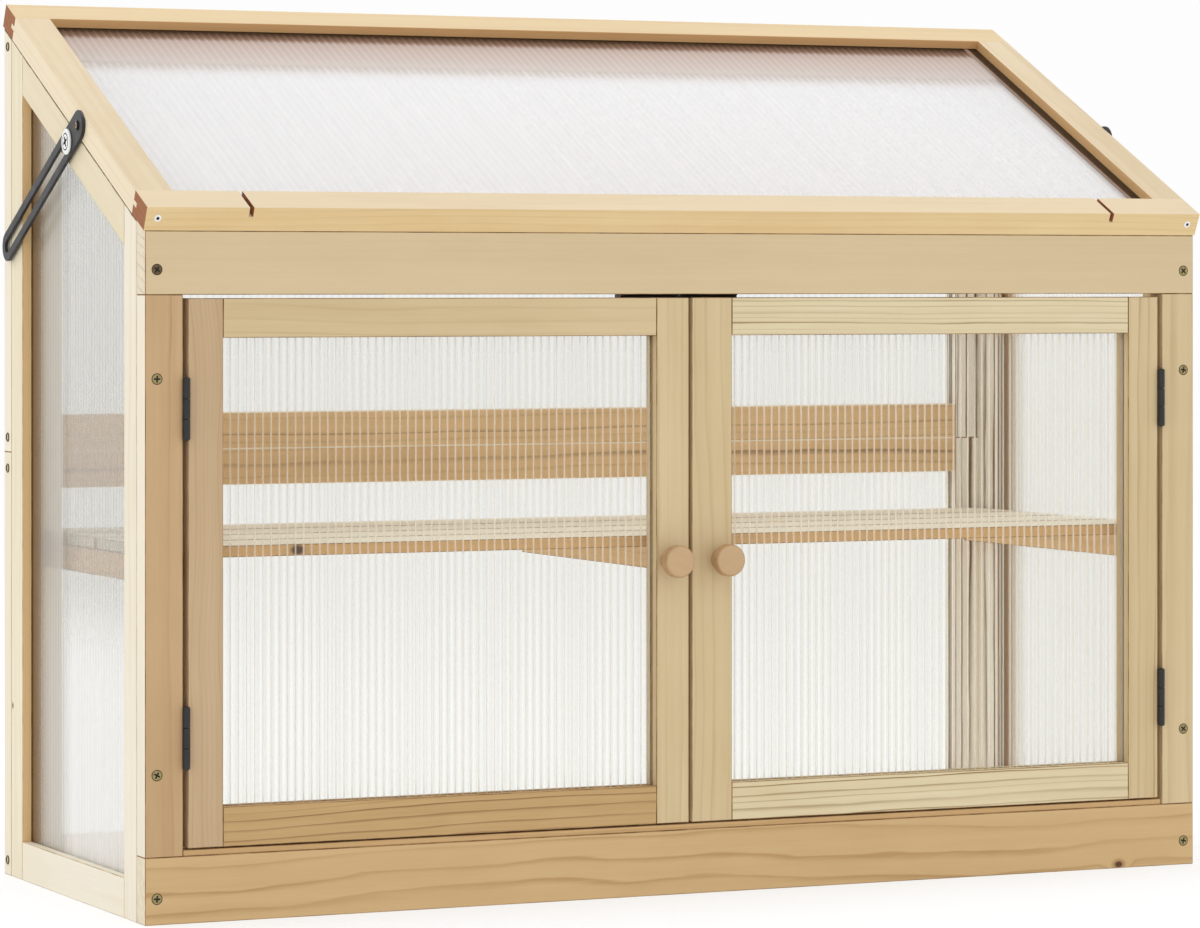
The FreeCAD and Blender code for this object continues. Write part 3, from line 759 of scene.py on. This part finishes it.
def face_outward(mesh):
    bmesh.ops.recalc_face_normals(mesh, faces=mesh.faces)


def join_flat(mesh, angle):
    bmesh.ops.dissolve_limit(mesh, angle_limit=radians(angle), verts=mesh.verts,
                             edges=mesh.edges)


def closed_loop(mesh, verts):
    return [mesh.edges.new(pair) for pair in zip(verts, verts[1:] + verts[:1])]


def arc_points(centre, radius, start, end, steps):
    angles = [start + (end - start) * i / steps for i in range(steps + 1)]
    return [(centre[0] + radius * cos(a), centre[1] + radius * sin(a)) for a in angles]


def plate(outline, holes, thickness, rim=0.0):
    """A flat plate on z = 0 with holes through it and its edges rounded."""
    made = bmesh.new()
    edges = []
    for loop in [outline] + holes:
        verts = [made.verts.new((x, y, 0)) for x, y in loop]
        edges += closed_loop(made, verts)
    filled = bmesh.ops.triangle_fill(made, use_beauty=True, use_dissolve=False, edges=edges)
    faces = [f for f in filled["geom"] if isinstance(f, bmesh.types.BMFace)]
    grown = bmesh.ops.extrude_face_region(made, geom=faces)
    verts = [v for v in grown["geom"] if isinstance(v, bmesh.types.BMVert)]
    bmesh.ops.translate(made, verts=verts, vec=(0, 0, thickness))
    face_outward(made)
    if rim:
        join_flat(made, 1)
        sharp = [e for e in made.edges if len(e.link_faces) == 2
                 and e.calc_face_angle() > radians(50)]
        bmesh.ops.bevel(made, geom=sharp, offset=rim, segments=2, affect="EDGES")
    return made


def cross_outline(arm):
    waist = arm * 0.26
    return [(arm, waist), (waist, waist), (waist, arm), (-waist, arm), (-waist, waist),
            (-arm, waist), (-arm, -waist), (-waist, -waist), (-waist, -arm), (waist, -arm),
            (waist, -waist), (arm, -waist)]


def join_rings(mesh, upper, lower):
    for i in range(len(upper)):
        j = (i + 1) % len(upper)
        mesh.faces.new((upper[i], upper[j], lower[j], lower[i]))


def crossed_face(piece, matrix, radius, arm, depth, metal, skirt=()):
    """A round face at z = 0 with a cross cut into it, and below its rim a skirt given as
    points (radius, height)."""
    outline = cross_outline(arm)
    circle = arc_points((0, 0), 1.0, 0, 2 * pi, 36)[:-1]
    face = bmesh.new()
    rings = [[face.verts.new((x * reach, y * reach, z)) for x, y in circle]
             for reach, z in [(radius, 0)] + list(skirt)]
    cross = [face.verts.new((x, y, 0)) for x, y in outline]
    edges = closed_loop(face, rings[0]) + closed_loop(face, cross)
    bmesh.ops.triangle_fill(face, use_beauty=True, use_dissolve=False, edges=edges)
    for upper, lower in zip(rings, rings[1:]):
        join_rings(face, upper, lower)
    face_outward(face)
    piece.add(face, matrix, metal)
    # Painted shade: the cross's recess is near black.
    recess = bmesh.new()
    top = [recess.verts.new((x, y, 0)) for x, y in outline]
    foot = [recess.verts.new((x * 0.8, y * 0.8, -depth)) for x, y in outline]
    recess.faces.new(foot)
    join_rings(recess, top, foot)
    face_outward(recess)
    bmesh.ops.reverse_faces(recess, faces=recess.faces)
    piece.add(recess, matrix, RECESS_SHADE)


def screw_head(piece, matrix, radius, metal, proud=0.3 * MM, sink=1.2 * MM):
    """A countersunk head that stands a little proud, so that its cross is above the board."""
    skirt = [(radius * 0.97, -proud * 0.4), (radius, -proud), (radius * 0.9, -proud - sink)]
    crossed_face(piece, matrix @ lift(proud), radius * 0.86, radius * 0.68, proud * 0.8, metal,
                 skirt)


def shadow_ring(piece, matrix, radius):
    """A painted shadow: a near-black ring round a screw's head, standing in for the shade in the
    hole that the head is drawn into.
    """
    inner, outer = radius - 0.2 * MM, radius + 0.6 * MM
    foot, top = -0.5 * MM, 0.04 * MM
    ring = lathe([(inner, foot), (outer, foot), (outer, top), (inner, top), (inner, foot)], 36)
    piece.add(ring, matrix, RECESS_SHADE)


# Screws that show on the boards

def add_screws():
    piece = Piece("front_screws")
    for height in front_screw_heights:
        for sign in SIDES.values():
            place = Vector((sign * (half_w - front_screw_inset), front_y, height))
            spin = Matrix.Rotation(radians(23 + 611 * height + 40 * sign), 4, "Z")
            dark = height > 0.5 and sign < 0
            shadow_ring(piece, axes(place, X, Z), front_screw_r)
            screw_head(piece, axes(place, X, Z) @ spin, front_screw_r,
                       DARK_ZINC if dark else YELLOW_ZINC)
    piece.done("body")
    piece = Piece("back_screws")
    back_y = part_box("back_lower_left_stile")[0].y + stock / 2
    for height in back_screw_heights:
        for sign in SIDES.values():
            place = Vector((sign * half_w, back_y, height))
            matrix = axes(place, Y * -sign, Z) @ Matrix.Rotation(1000 * height, 4, "Z")
            shadow_ring(piece, matrix, back_screw_r)
            screw_head(piece, matrix, back_screw_r, YELLOW_ZINC)
    piece.done("body")
    piece = Piece("lid_nails")
    for sign in SIDES.values():
        place = lid_front_foot + lid_off * stock * 0.52 + X * sign * (lid_high.x - 11 * MM)
        matrix = axes(place, X, lid_off)
        head = lathe([(0, -0.6 * MM), (nail_r, -0.6 * MM), (nail_r, 0.15 * MM),
                      (2.7 * MM, 0.4 * MM), (1.5 * MM, 0.4 * MM), (1.3 * MM, 0.1 * MM),
                      (0, 0.1 * MM)], 32)
        piece.add(head, matrix, WHITE_SHEEN_ZINC)
        # Painted shade: a near-black dimple in the middle of the head.
        dimple = lathe([(0, 0.05 * MM), (1.45 * MM, 0.05 * MM), (1.45 * MM, 0.42 * MM),
                        (0, 0.42 * MM)], 20)
        piece.add(dimple, matrix, RECESS_SHADE)
    piece.done("lid")


# Knobs: turned, with a small foot, a waist and a full round head. The stile of the same
# node is copied without the plain knob of the frame.

def knob_profile():
    """Foot, waist, a thick rim with two turned lines, and a face that is nearly flat."""
    turned = ((0, 0), (8.4, 0), (8.9, 0.6), (8.4, 1.8), (7.2, 3.6), (7.0, 5.6), (8.6, 8.4),
              (11.6, 10.6), (13.2, 11.8), (12.9, 12.3), (13.9, 13.4))
    points = [(radius * MM, height * MM) for radius, height in turned]
    points += [(knob_r, 15.0 * MM), (knob_r, 17.2 * MM), (knob_r - 0.4 * MM, 17.6 * MM),
               (knob_r, 18.0 * MM)]
    shoulder = 3.2 * MM
    top = knob_len - 1.2 * MM
    for i in range(9):
        turn = radians(90 * i / 8)
        points.append((knob_r - shoulder * (1 - cos(turn)),
                       top - shoulder * (1 - sin(turn))))
    for share in (0.75, 0.5, 0.25, 0.0):
        reach = (knob_r - shoulder) * share
        points.append((reach, knob_len - 0.05 * MM - 1.15 * MM * share ** 2))
    return points


def add_meeting_stiles():
    for number, (side, sign) in enumerate(SIDES.items()):
        name = side + "_door_meeting_stile"
        source = bmesh.new()
        source.from_mesh(nodes[name].data)
        bmesh.ops.remove_doubles(source, verts=source.verts, dist=0.01 * MM)
        knob_part = [v for v in source.verts if v.co.y < front_y - 0.1 * MM]
        seeds = set(knob_part)
        grown = list(knob_part)
        while grown:
            vert = grown.pop()
            for edge in vert.link_edges:
                other = edge.other_vert(vert)
                if other not in seeds:
                    seeds.add(other)
                    grown.append(other)
        spans = [[v.co[axis] for v in knob_part] for axis in (0, 2)]
        knob_x, knob_z = ((min(span) + max(span)) / 2 for span in spans)
        bmesh.ops.delete(source, geom=list(seeds), context="VERTS")
        join_flat(source, 0.5)
        stile = Piece(name + "_board")
        look = wood(name, Z, X, HONEY, 41 + 2 * number, pith=(sign * 130, 16), pitch=6,
                    lines=0.65)
        stile.add(source, Matrix.Identity(4), look)
        board = stile.done(side + "_door", [name])
        board.data.materials.append(EDGE)
        soften(board)
        knob = Piece(side + "_door_knob")
        tilt = (X + Z * 0.4 * sign).normalized()
        grain = wood(side + "_knob", tilt, Y, KNOB, 51 + number, pith=(-150, 60), pitch=2.2,
                     lines=0.4, side=LIT_KNOB_FACE, side_axis=-Y)
        place = Vector((knob_x, front_y, knob_z))
        knob.add(lathe(knob_profile(), 64), axes(place, X, Z), grain)
        knob.done(side + "_door")


# Hinges, drawn with the axis on Z and the leaf on the +X side, reaching along +Y

def knuckle(z0, z1, tip_low=False, tip_high=False):
    dome = 1.2 * MM
    profile = [(0, z0 - dome if tip_low else z0)]
    if tip_low:
        profile += [(hinge_r * 0.55, z0 - dome * 0.85), (hinge_r * 0.88, z0 - dome * 0.4)]
    profile += [(hinge_r - 0.25 * MM, z0), (hinge_r, z0 + 0.25 * MM),
                (hinge_r, z1 - 0.25 * MM), (hinge_r - 0.25 * MM, z1)]
    if tip_high:
        profile += [(hinge_r * 0.88, z1 + dome * 0.4), (hinge_r * 0.55, z1 + dome * 0.85)]
    profile.append((0, z1 + dome if tip_high else z1))
    return lathe(profile, 32)


def leaf_outline(open_middle):
    """The leaf in (reach, height), with gaps for the other leaf's knuckles."""
    half = hinge_len / 2
    clear = hinge_r + 2 * hinge_gap
    corner = 2 * MM
    points = arc_points((hinge_reach - corner, -half + corner), corner, -pi / 2, 0, 6)
    points += arc_points((hinge_reach - corner, half - corner), corner, 0, pi / 2, 6)
    middle = knuckle_len / 2 + hinge_gap
    if open_middle:
        points += [(0, half), (0, middle), (clear, middle), (clear, -middle), (0, -middle),
                   (0, -half)]
    else:
        edge = middle - 2 * hinge_gap
        points += [(clear, half), (clear, edge), (0, edge), (0, -edge), (clear, -edge),
                   (clear, -half)]
    return points


def hinge_half(piece, matrix, seat, fixed):
    """One leaf with its knuckles: two on the fixed leaf, with the pin, or the middle one."""
    half = hinge_len / 2
    sheet = plate(leaf_outline(fixed), [], hinge_leaf_t, 0.15 * MM)
    # The plate's thickness runs from the seat towards the other leaf.
    leaf_axes = axes(Vector((seat, 0, 0)), Y, Z)
    piece.add(sheet, matrix @ leaf_axes @ lift(-hinge_leaf_t), BLACK_HINGE)
    if fixed:
        piece.add(knuckle(-half, knuckle_len - half, tip_low=True), matrix, BLACK_HINGE)
        piece.add(knuckle(half - knuckle_len, half, tip_high=True), matrix, BLACK_HINGE)
        piece.add(knuckle(-hinge_pin_r, hinge_pin_r), matrix @ Matrix.Scale(0.5, 4), BLACK_HINGE)
    else:
        piece.add(knuckle(-knuckle_len / 2, knuckle_len / 2), matrix, BLACK_HINGE)
    screws = matrix @ axes(Vector((seat - hinge_leaf_t, 0, 0)), Z, Y)
    for height in (-hinge_screw_spread, 0.0, hinge_screw_spread):
        reach = 11.5 * MM if height else 13.5 * MM
        spot = screws @ Matrix.Translation((height, reach, 0))
        screw_head(piece, spot @ Matrix.Rotation(900 * height + 0.4, 4, "Z"), hinge_screw_r,
                   BLACK_HINGE, 0.15 * MM, 0.8 * MM)


def add_hinges():
    low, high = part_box("door_hinge_jamb_leaves")
    heights = (low.z + hinge_len / 2, high.z - hinge_len / 2)
    fixed = Piece("door_hinges_jamb_side")
    for side in SIDES:
        axis = Vector(joints[side + "_door_swing"]["pos_m"])
        moving = Piece(side + "_door_hinges_door_side")
        for height in heights:
            place = Vector((-abs(axis.x), axis.y, height))
            hinge_half(fixed, MIRRORED[side] @ axes(place, -X, Y), door_hinge_seat, True)
            hinge_half(moving, MIRRORED[side] @ axes(place, X, Y), door_hinge_seat, False)
        moving.done(side + "_door", [side + "_door_hinge_leaves"])
    fixed.done("body", ["door_hinge_jamb_leaves"])
    axis = Vector(joints["lid_lift"]["pos_m"])
    low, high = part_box("lid_hinge_back_leaves")
    fixed = Piece("lid_hinges_back_side")
    moving = Piece("lid_hinges_lid_side")
    for x in (low.x + hinge_len / 2, high.x - hinge_len / 2):
        place = Vector((x, axis.y, axis.z))
        hinge_half(fixed, axes(place, -Y, -Z), hinge_r, True)
        hinge_half(moving, axes(place, -lid_along, lid_off), hinge_r, False)
    fixed.done("body", ["lid_hinge_back_leaves"])
    moving.done("lid", ["lid_hinge_lid_leaves"])


# Stays, drawn along X from the pivot at the origin

def inner_face(node):
    """How far the face of a node that is nearer the middle of the greenhouse is from it."""
    return min(abs(corner.x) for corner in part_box(node))


def stay_place(side):
    """The matrix from the pivot's own axes, on the stay's inner face, to the greenhouse."""
    turn = joints[side + "_stay_turn"]["pos_m"]
    along = Vector(joints[side + "_stud_run"]["axis"]).normalized()
    pivot = Vector((-inner_face(side + "_stay"), turn[1], turn[2]))
    return MIRRORED[side] @ axes(pivot, along, (-X).cross(along))


def add_stays():
    for side in SIDES:
        last = stay_first + joints[side + "_stud_run"]["range_m"][1]
        place = stay_place(side)
        end_r = stay_w / 2
        slot_r = stay_slot_w / 2
        outline = arc_points((0, 0), end_r, pi / 2, 3 * pi / 2, 32)
        outline += arc_points((last, 0), end_r, -pi / 2, pi / 2, 32)
        slot = arc_points((stay_first, 0), slot_r, pi / 2, 3 * pi / 2, 20)
        slot += arc_points((last, 0), slot_r, -pi / 2, pi / 2, 20)
        hole = arc_points((0, 0), stay_hole_r, 0, 2 * pi, 32)[:-1]
        bar = Piece(side + "_stay_bar")
        bar.add(plate(outline, [slot, hole], stay_t, 0.3 * MM), place, BLACK_COAT)
        bar.done(side + "_stay", [side + "_stay"])

        foot = inner_face(side + "_stay") - inner_face(side + "_stay_stud")
        stud = Piece(side + "_stud_screw")
        head = stay_t + hinge_gap
        top = head + stud_head_t
        neck = slot_r - 0.1 * MM
        dish = 6.8 * MM
        body = lathe([(0, -foot), (neck, -foot), (neck, head), (stud_head_r - 0.4 * MM, head),
                      (stud_head_r, head + 0.4 * MM), (stud_head_r, top - 1.0 * MM),
                      (stud_head_r - 0.5 * MM, top - 0.5 * MM), (8.6 * MM, top - 0.1 * MM),
                      (7.9 * MM, top - 0.25 * MM)], 64)
        spot = place @ Matrix.Translation((stay_first, 0, 0))
        stud.add(body, spot, WHITE_SHEEN_ZINC)
        # Painted shade: a near-black groove between the head's rim and its dish.
        groove = lathe([(7.9 * MM, top - 0.25 * MM), (7.7 * MM, top - 0.9 * MM),
                        (dish, top - 0.9 * MM), (dish, top - 0.15 * MM)], 64)
        stud.add(groove, spot, RECESS_SHADE)
        crossed_face(stud, spot @ lift(top - 0.15 * MM), dish, 5.0 * MM, 1.3 * MM, WHITE_SHEEN_ZINC)
        stud.done(side + "_stud", [side + "_stay_stud"])


def add_pivots():
    """The screws that the stays turn on: a black bush, and a bright screw sunk in it."""
    piece = Piece("stay_pivots")
    for side in SIDES:
        place = stay_place(side)
        outer = stay_hole_r - 0.08 * MM
        top = stay_t + 1.8 * MM
        bush = lathe([(0, -12 * MM), (outer, -12 * MM), (outer, top - 0.4 * MM),
                      (outer - 0.4 * MM, top), (3.0 * MM, top), (2.9 * MM, top - 0.8 * MM),
                      (0, top - 0.8 * MM)], 40)
        piece.add(bush, place, BLACK_HINGE)
        screw_head(piece, place @ lift(top - 0.7 * MM), 2.7 * MM, BRASS, 0.5 * MM, 0.6 * MM)
    piece.done("lid", ["stay_pivot_screws"])


def add_sill():
    """A thin strip on the kickboard that closes most of the slot under the doors."""
    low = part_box("left_jamb")[1].x + 0.5 * MM
    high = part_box("right_jamb")[0].x - 0.5 * MM
    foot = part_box("kickboard")[1].z
    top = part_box("left_door_bottom_rail")[0].z - 1.4 * MM
    front, back = front_y + 1.6 * MM, front_y + stock - 0.4 * MM
    outline = [(low, front), (high, front), (high, back), (low, back)]
    piece = Piece("sill_strip")
    look = wood("sill_strip", X, Y, SILL, 61, pith=(-60, 30), pitch=4, lines=0.7)
    piece.add(plate(outline, [], top - foot), lift(foot), look)
    strip = piece.done("body")
    strip.data.materials.append(EDGE)
    soften(strip, 0.4 * MM)


def add_catch_screws():
    dress("catch_case", BLACK_PLASTIC, 0.4 * MM)
    dress("catch_magnets", MAGNET, 0.2 * MM)
    low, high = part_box("catch_case")
    case_w = (high.x - low.x) / 2
    piece = Piece("catch_screws")
    for x in (low.x, low.x + case_w):
        for share in (0.2, 0.8):
            place = Vector((x + share * case_w, front_y + stock + 2.5 * MM, high.z - 7 * MM))
            screw_head(piece, axes(place, -X, Z), 3.2 * MM, ZINC)
    piece.done("body")
    for side in SIDES:
        dress(side + "_door_strike", ZINC, 0.2 * MM)
        place = box_middle(side + "_door_strike")
        place.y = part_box(side + "_door_strike")[1].y
        piece = Piece(side + "_strike_screw")
        screw_head(piece, axes(place, -X, Z), 3.0 * MM, ZINC)
        piece.done(side + "_door")


# Studio

def pale_floor():
    mesh = bpy.data.meshes.new("floor")
    reach = 30.0
    corners = [(-reach, -reach, 0), (reach, -reach, 0), (reach, reach, 0), (-reach, reach, 0)]
    mesh.from_pydata(corners, [], [(0, 1, 2, 3)])
    floor = new_object("floor", mesh)
    material, g = new_material("floor")
    place = g.place()
    colour = g.mix(g.noise(place, 1.5), WHITE, shade(253, 253, 253))
    paper = g.node("BsdfPrincipled", {"Base Color": colour, "Roughness": 0.8,
                                      "Specular IOR Level": 0.1})
    glow = g.node("Emission", {"Color": colour, "Strength": 1.0})
    finish_material(g, g.node("MixShader", {0: 0.6, 1: paper.outputs[0], 2: glow.outputs[0]}))
    mesh.materials.append(material)


def area_light(name, place, target, size, power):
    light = bpy.data.lights.new(name, "AREA")
    light.shape = "SQUARE"
    light.size = size
    light.energy = power
    made = new_object(name, light)
    made.location = place
    made.rotation_euler = (Vector(target) - Vector(place)).to_track_quat("-Z", "Y").to_euler()


def studio():
    scene = bpy.context.scene
    world = bpy.data.worlds.new("studio")
    world.use_nodes = True
    back = world.node_tree.nodes["Background"]
    back.inputs["Color"].default_value = WHITE
    back.inputs["Strength"].default_value = 0.985
    scene.world = world
    area_light("key", (-1.75, 3.1, 2.5), (-0.45, 0, 0.45), 0.5, 26)
    area_light("overhead", (0, 0.1, 3.3), (0, 0.05, 0.6), 1.6, 28)
    scene.view_settings.view_transform = "Standard"
    scene.cycles.transparent_max_bounces = 64
    scene.cycles.max_bounces = 12
    scene.cycles.transmission_bounces = 12


def photo_camera():
    """The photograph's view: level, turned to the right, with the frame shifted down."""
    camera = bpy.data.cameras.new("camera")
    camera.sensor_width = 36
    camera.lens = 142.16
    camera.shift_y = -0.1513
    camera.clip_end = 100
    made = new_object("camera", camera)
    made.location = (-1.8482, -4.0132, 0.5475)
    made.rotation_euler = (pi / 2, 0, -0.4299)
    bpy.context.scene.camera = made


dress_boards()
dress_sheets()
add_meeting_stiles()
add_hinges()
add_stays()
add_pivots()
add_catch_screws()
add_sill()
add_screws()
pale_floor()
studio()
photo_camera()
